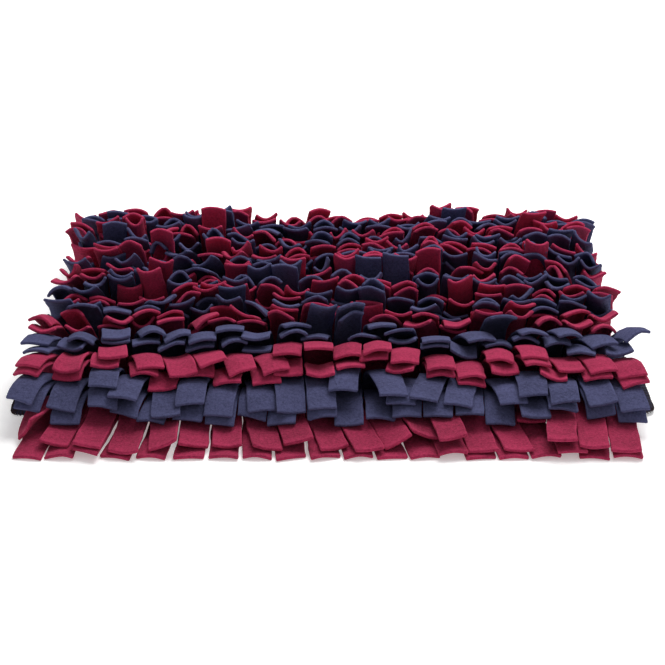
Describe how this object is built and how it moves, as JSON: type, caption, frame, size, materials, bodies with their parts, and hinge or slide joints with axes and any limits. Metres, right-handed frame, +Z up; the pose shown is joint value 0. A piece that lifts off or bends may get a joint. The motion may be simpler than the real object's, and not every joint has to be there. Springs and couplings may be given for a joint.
{
  "type": "snuffle mat",
  "caption": "Foraging mat for pets: rows of slit fleece bands in maroon and navy, sewn across a flat dark base cloth, their tabs heaped forward to hide food.",
  "frame": {"origin": "middle of the base cloth's underside, on the surface that the mat lies on", "axes": "+Z up, +X along the rows to the right, -Y towards the front edge, over which the first row lies on the floor"},
  "size_m": [0.7, 0.57, 0.1117],
  "materials": {
    "base_cloth": "matt dark woven base cloth with a rough sewn edge",
    "maroon_fleece": "matt napped fleece with plain cut edges",
    "navy_fleece": "matt napped fleece with plain cut edges"
  },
  "bodies": {
    "root": {"base_cloth": "base_cloth", "row_01": "maroon_fleece", "row_02": "navy_fleece", "row_03": "maroon_fleece", "row_04": "navy_fleece", "row_05": "maroon_fleece", "row_06": "navy_fleece", "row_07": "maroon_fleece", "row_08": "navy_fleece", "row_09": "maroon_fleece", "row_10": "navy_fleece", "row_11": "maroon_fleece", "row_12": "navy_fleece", "row_13": "maroon_fleece", "row_14": "navy_fleece", "row_15": "maroon_fleece"}
  },
  "joints": []
}
